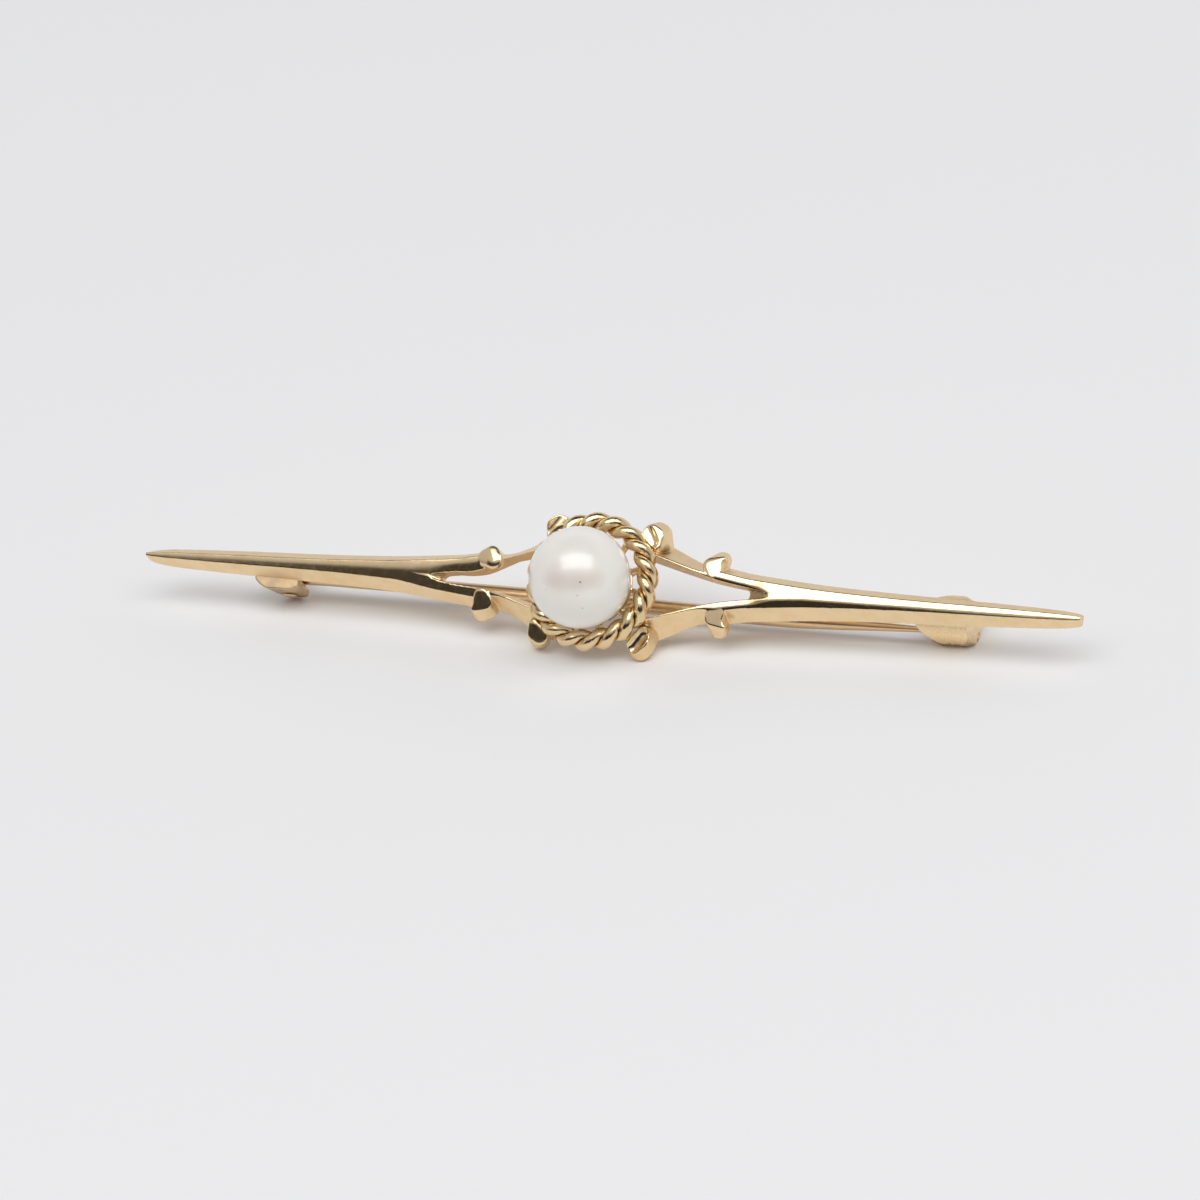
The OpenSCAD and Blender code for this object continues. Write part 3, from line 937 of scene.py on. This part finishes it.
def pearl_mesh():
    rings = []
    for i in range(PEARL_ROWS + 1):
        a = math.pi * i / PEARL_ROWS
        r = max(AXIS_R / 2, PEARL_R * math.sin(a))
        rings.append([(px, py, -PEARL_R * math.cos(a)) for px, py in circle(r, PEARL_SIDES)])
    mesh = skin(rings)
    for vertex in mesh.vertices:
        n = vertex.co.normalized()
        swell = SWELL * math.sin(3.1 * n.x + 1.3) * math.sin(2.3 * n.y - 0.6)
        swell += FINE_RINGS * math.sin(14 * n.z + 2 * n.x) * (0.5 + 0.5 * n.y)
        vertex.co = vertex.co * (1 + swell / PEARL_R - SHRINK)
    hole = hull([
        (px, py, z) for px, py in circle(PEG_R + GAP, 48)
        for z in (-PEARL_R - 1, PEG_TOP - PEARL_Z + GAP)
    ])
    return carve(mesh, hole)


pearl_shape = pearl_mesh()
pearl_shape.transform(Matrix.Translation((0, -PEARL_LOW, PEARL_Z)))
pearl = add_piece("pearl_ball", pearl_shape, "brooch", "pearl")

# %% [markdown]
# Finishes are written as Python expressions. One small class wraps a socket, so that adding or
# multiplying two of them makes the Math node that does it. One method makes any other node.

# %% Shader expressions
class Value:
    """A shader socket that can be used in an expression."""

    def __init__(self, paint, socket):
        self.paint = paint
        self.socket = socket

    def maths(self, operation, *parts):
        return self.paint.node("ShaderNodeMath", {"operation": operation}, dict(enumerate(parts)))

    def __add__(self, other):
        return self.maths("ADD", self, other)

    def __sub__(self, other):
        return self.maths("SUBTRACT", self, other)

    def __rsub__(self, other):
        return self.maths("SUBTRACT", other, self)

    def __mul__(self, other):
        return self.maths("MULTIPLY", self, other)

    def clamped(self):
        return self.paint.node("ShaderNodeClamp", {}, {0: self})

    __radd__ = __add__
    __rmul__ = __mul__


class Paint:
    """Short ways to add nodes to a material or a world, in front of its shader."""

    def __init__(self, target, shader="Principled BSDF"):
        self.target = target
        target.use_nodes = True
        self.tree = target.node_tree
        self.shader = self.tree.nodes[shader]

    def node(self, kind, settings, sockets, output=0):
        """Makes a node, fills in its settings and sockets, and gives one of its outputs."""
        made = self.tree.nodes.new(kind)
        for key, value in settings.items():
            setattr(made, key, value)
        for key, value in sockets.items():
            self.feed(made.inputs[key], value)
        return Value(self, made.outputs[output])

    def feed(self, socket, value):
        if isinstance(value, Value):
            self.tree.links.new(value.socket, socket)
        else:
            socket.default_value = value

    def set(self, **sockets):
        """Fills in the shader's own sockets."""
        for key, value in sockets.items():
            self.feed(self.shader.inputs[key.replace("_", " ")], value)

    def place(self):
        """Where a point is, in millimetres, on the piece as it rests."""
        where = self.node("ShaderNodeTexCoord", {}, {}, output="Object")
        return self.node("ShaderNodeVectorMath", {"operation": "SCALE"}, {0: where, "Scale": 1000.0})

    def noise(self, where, scale, detail=2.0, rough=0.5):
        sockets = {"Vector": where, "Scale": scale, "Detail": detail, "Roughness": rough}
        return self.node("ShaderNodeTexNoise", {}, sockets)

    def attribute(self, name, output="Fac"):
        return self.node("ShaderNodeAttribute", {"attribute_name": name}, {}, output=output)

    def blend(self, factor, a, b):
        """From colour a to colour b."""
        a, b = ((*colour, 1) if isinstance(colour, tuple) else colour for colour in (a, b))
        return self.node("ShaderNodeMix", {"data_type": "RGBA"}, {0: factor, 6: a, 7: b}, output=2)

    def step(self, value, low, high):
        """0 below low, 1 above high and smooth between them."""
        settings = {"interpolation_type": "SMOOTHSTEP"}
        return self.node("ShaderNodeMapRange", settings, {0: value, 1: low, 2: high, 3: 0.0, 4: 1.0})

    def spot(self, where, centre, inner, outer):
        """1 within the inner distance of a place and 0 beyond the outer one."""
        settings = {"operation": "DISTANCE"}
        distance = self.node("ShaderNodeVectorMath", settings, {0: where, 1: centre}, output="Value")
        return self.step(distance, outer, inner)

    def bump(self, height, strength, distance):
        sockets = {"Height": height, "Strength": strength, "Distance": distance}
        return self.node("ShaderNodeBump", {}, sockets)


def new_paint(name):
    """Paint for a new material."""
    return Paint(bpy.data.materials.new(name))


def finish_with(paint, *objects):
    """Gives pieces their only material."""
    for obj in objects:
        obj.data.materials.clear()
        obj.data.materials.append(paint.target)


# %% [markdown]
# The castings are polished in front and satin on their walls, where the fine grain of the casting
# still shows. The metal is a pale yellow gold with brown shade painted into its hollows and creases.
# The hinge side is more worn, so its front is duller and blotchy, and the hinge's gold is painted
# darker to stand for the shade it sits in.

# %% Cast gold
GOLD = (0.91, 0.71, 0.44)
GOLD_WARM = (0.87, 0.64, 0.36)
# Brown for shade painted into hollows and creases, and for the solder marks on the catch
SHADE_AND_SOLDER_BROWN = (0.34, 0.21, 0.09)
SHADE_AND_SOLDER_CORE = 0.4
# The hinge's gold, painted darker to stand for the shade it sits in
HINGE_SHADE_GOLD = (0.58, 0.44, 0.29)
# How deep the grain in the metal is, in metres
GRAIN_DEPTH = 0.00004


def as_it_rests(place):
    """A place on the face-up brooch, in millimetres where it rests."""
    return shift + tilt.to_3x3() @ Vector(place)


def cast_gold(name, shine, wear, colour=GOLD, shade_and_solder_spots=(), satin=0.36):
    """shine and satin are the roughness of fronts and walls, wear is how much the fronts vary."""
    paint = new_paint(name)
    where = paint.place()
    polish = paint.attribute("polish")
    grain = paint.noise(where, 9.0, 3.0, 0.65)
    clouds = paint.noise(where, 1.1, 2.0)
    flecks = paint.step(paint.noise(where, 3.4, 3.0, 0.6), 0.45, 0.70)
    front = shine + wear * flecks
    wall = satin + 0.12 * flecks
    gold = paint.blend(paint.step(clouds, 0.35, 0.75) * 0.8, colour, GOLD_WARM)
    # Each spot paints brown into the colour: shade in a hollow or crease of a bar, and the solder marks on
    # the catch
    for place, size, strength in shade_and_solder_spots:
        shade_and_solder_spot = paint.spot(where, as_it_rests(place), SHADE_AND_SOLDER_CORE * size, size)
        gold = paint.blend((shade_and_solder_spot * strength * (0.6 + 0.8 * grain)).clamped(), gold, SHADE_AND_SOLDER_BROWN)
    rough_wall = (0.9 * grain + 0.3 * flecks) * (1 - 0.96 * polish)
    soft_front = 0.3 * clouds * polish
    paint.set(
        Metallic=1.0,
        Base_Color=gold,
        Roughness=wall + polish * (front - wall) + 0.08 * (grain - 0.5),
        Normal=paint.bump(rough_wall + soft_front, 0.5, GRAIN_DEPTH),
    )
    return paint


# Brown shade painted into hollows and creases: place, size in mm, strength
CATCH_HOLLOW_SHADE = [
    ((8.3, 0, -0.35), 0.8, 0.8), ((7.6, 0.5, -0.5), 0.5, 0.4), ((2.7, -2.0, -0.2), 0.5, 0.6),
    ((3.15, 1.9, -0.5), 0.42, 0.9), ((6.75, 1.35, -0.45), 0.42, 0.8), ((2.55, -2.7, -0.05), 0.32, 0.5),
    ((7.0, -1.25, -0.5), 0.35, 0.5),
]
HINGE_HOLLOW_SHADE = [
    ((-8.5, 0, -0.45), 0.5, 0.5), ((-2.8, -2.1, -0.1), 0.5, 0.6), ((-2.9, 2.1, -0.1), 0.4, 0.5),
    ((-5.15, 0.45, -0.05), 0.22, 0.9), ((-5.3, -1.45, -0.4), 0.35, 0.5),
]
# Dark marks that soldering left along the catch
SOLDER_MARKS = [
    ((17.5, -1.30, -2.85), 0.12, 0.9), ((17.75, -1.31, -2.9), 0.15, 1.0), ((18.0, -1.29, -2.85), 0.12, 0.9),
    ((18.5, -0.9, -3.8), 0.16, 0.9), ((18.53, -0.6, -3.9), 0.14, 0.8),
]
finish_with(cast_gold("cast gold", 0.10, 0.05, shade_and_solder_spots=CATCH_HOLLOW_SHADE), bars[0], cup)
# The hinge gets gold painted darker to stand for its shade
finish_with(cast_gold("hinge gold darkened as shade", 0.40, 0.1, HINGE_SHADE_GOLD), hinge)
finish_with(cast_gold("worn cast gold", 0.17, 0.05, shade_and_solder_spots=HINGE_HOLLOW_SHADE), bars[1])
finish_with(cast_gold("satin gold", 0.26, 0.08, shade_and_solder_spots=SOLDER_MARKS, satin=0.27), catch)

# %% [markdown]
# The wire of the rope is polished on its crests. Its grooves are painted dark brown as shade between
# the strands, and faint lines run along each strand from drawing the wire.

# %% Rope gold
CREST_GOLD = (0.85, 0.65, 0.38)
# Dark brown painted into the grooves as shade between the strands
GROOVE_SHADE = (0.26, 0.16, 0.07)
rope_gold = new_paint("rope gold")
where = rope_gold.place()
groove = rope_gold.attribute("groove")
drawn = rope_gold.noise(rope_gold.attribute("grain", "Vector"), 4.5, 3.0, 0.6)
dents = rope_gold.noise(where, 2.2, 2.0)
rope_gold.set(
    Metallic=1.0,
    Base_Color=rope_gold.blend(rope_gold.step(groove, 0.1, 0.9), CREST_GOLD, GROOVE_SHADE),
    Roughness=0.09 + 0.12 * groove + 0.06 * drawn,
    Normal=rope_gold.bump(drawn * 0.6 + dents * 0.9, 0.5, GRAIN_DEPTH),
)
finish_with(rope_gold, rope)

# %% Pin gold
# The pin's gold painted darker to stand for the shade under the bar and ring; scuffs mix it at random with
# the plain pin gold
PIN_SHADED = (0.80, 0.56, 0.33)
PIN_LIGHT = (0.86, 0.64, 0.41)
pin_gold = new_paint("pin gold")
where = pin_gold.place()
scuffs = pin_gold.noise(where, 5.0, 3.0)
pin_gold.set(
    Metallic=1.0,
    Base_Color=pin_gold.blend(scuffs, PIN_SHADED, PIN_LIGHT),
    Roughness=0.24 + 0.14 * scuffs,
    Normal=pin_gold.bump(scuffs, 0.2, GRAIN_DEPTH / 2),
)
finish_with(pin_gold, pin, rivet)

# %% [markdown]
# Nacre is white and slightly see-through, with a soft sheen and a faint warm cast in slow waves. The
# sheen is a coat over a nearly matt body; darker bands, painted reflections of the dark room, are
# mixed into the colour.

# %% Pearl finish
NACRE = (0.96, 0.93, 0.865)
NACRE_WARM = (0.95, 0.895, 0.835)
PAINTED_REFLECTION = (0.78, 0.70, 0.62)
SPECK = (0.16, 0.13, 0.10)
# Painted reflection bands: how far right of and above the pearl's middle, full and faded radius, strength
PAINTED_REFLECTIONS = ((-1.1, -0.05, 0.1, 1.1, 0.6), (-0.1, -0.15, 0.1, 0.9, 0.6), (0.8, -0.1, 0.1, 0.8, 0.45))
# Small dark specks: how far right and above, size, strength
SPECKS = (
    (0.04, -0.24, 0.05, 0.9), (-0.10, -0.88, 0.05, 0.3), (0.15, -1.5, 0.045, 0.4), (-1.63, -0.61, 0.05, 0.2),
)
nacre = new_paint("nacre")
where = nacre.place()
pearl_middle = as_it_rests((0, -PEARL_LOW, PEARL_Z))


def on_pearl(across, upwards):
    """The place on the pearl's near side that the camera sees so far from its middle."""
    out = math.sqrt(PEARL_R**2 - across**2 - upwards**2)
    return pearl_middle + across * right + upwards * up + out * away


waves = nacre.noise(where, 0.35, 2.0)
colour = nacre.blend(nacre.step(waves, 0.4, 0.65), NACRE, NACRE_WARM)
# Darker bands painted where the pearl mirrors the dark room
for across, upwards, inner, outer, strength in PAINTED_REFLECTIONS:
    painted_reflection = nacre.spot(where, on_pearl(across, upwards), inner, outer)
    colour = nacre.blend(painted_reflection * strength, colour, PAINTED_REFLECTION)
for across, upwards, size, strength in SPECKS:
    mark = nacre.spot(where, on_pearl(across, upwards), 0.4 * size, 1.4 * size)
    colour = nacre.blend(mark * strength, colour, SPECK)
nacre.set(
    Base_Color=colour,
    Roughness=0.30,
    IOR=1.6,
    Subsurface_Weight=0.35,
    Subsurface_Radius=(1.0, 0.85, 0.7),
    Subsurface_Scale=0.0008,
    Coat_Weight=1.0,
    Coat_IOR=1.6,
    Coat_Roughness=0.15,
)
finish_with(nacre, pearl)

# %% [markdown]
# The brooch lies on a plain white table under one wide softbox. Its shape can be read from its
# mirror image on the pearl. The camera's side of the room is dark low down, which gives the
# polished front its dark lower edges. The ceiling towards the back is dark too, and shows in the
# metal that faces up.

# %% Table
TABLE_WHITE = (0.94, 0.94, 0.945, 1)
TABLE_HALF_M = 1.5
floor_mesh = bpy.data.meshes.new("table")
bm = bmesh.new()
bmesh.ops.create_grid(bm, x_segments=1, y_segments=1, size=TABLE_HALF_M)
bm.to_mesh(floor_mesh)
bm.free()
table = bpy.data.objects.new("table", floor_mesh)
bpy.context.scene.collection.objects.link(table)
table_paint = new_paint("table")
table_paint.set(Base_Color=TABLE_WHITE, Roughness=0.6, Specular_IOR_Level=0.1)
finish_with(table_paint, table)

# %% Lights
KEY_RADIANCE = 2.2
KEY_SIZE = (1.21, 0.60)
KEY_DISTANCE = 0.9
KEY_TOWARDS = (0.15, -0.37, 0.92)


def softbox(name, towards, distance, size, radiance):
    """A rectangle of light that faces the brooch, with its width level in the picture."""
    data = bpy.data.lights.new(name, "AREA")
    data.shape = "RECTANGLE"
    data.size, data.size_y = size
    data.energy = math.pi * size[0] * size[1] * radiance
    lamp = bpy.data.objects.new(name, data)
    facing = Vector(towards).normalized()
    across = (right - right.dot(facing) * facing).normalized()
    axes = Matrix((across, facing.cross(across), facing)).transposed().to_4x4()
    lamp.matrix_world = Matrix.Translation(facing * distance) @ axes
    bpy.context.scene.collection.objects.link(lamp)


softbox("key", KEY_TOWARDS, KEY_DISTANCE, KEY_SIZE, KEY_RADIANCE)

# %% Room
WALLS = (0.55, 0.55, 0.56)
BACK_WALL = (0.72, 0.72, 0.73)
CEILING = (0.06, 0.06, 0.062)
DARK_CORNER = (0.035, 0.032, 0.028)
world = bpy.data.worlds.new("room")
bpy.context.scene.world = world
room = Paint(world, "Background")
direction = room.node("ShaderNodeTexCoord", {}, {}, output="Generated")
height = room.node("ShaderNodeSeparateXYZ", {}, {0: direction}, output="Z")
depth = room.node("ShaderNodeSeparateXYZ", {}, {0: direction}, output="Y")
low_front = room.step(depth, -0.35, -0.62) * room.step(height, 0.56, 0.40)
overhead = room.step(height, 0.60, 0.80) * room.step(depth, -0.05, 0.22)
tone = room.blend(overhead, WALLS, CEILING)
tone = room.blend(room.step(depth, 0.1, 0.6) * (1 - overhead), tone, BACK_WALL)
room.set(Color=room.blend(low_front, tone, DARK_CORNER))
bpy.context.scene.view_settings.view_transform = "Standard"
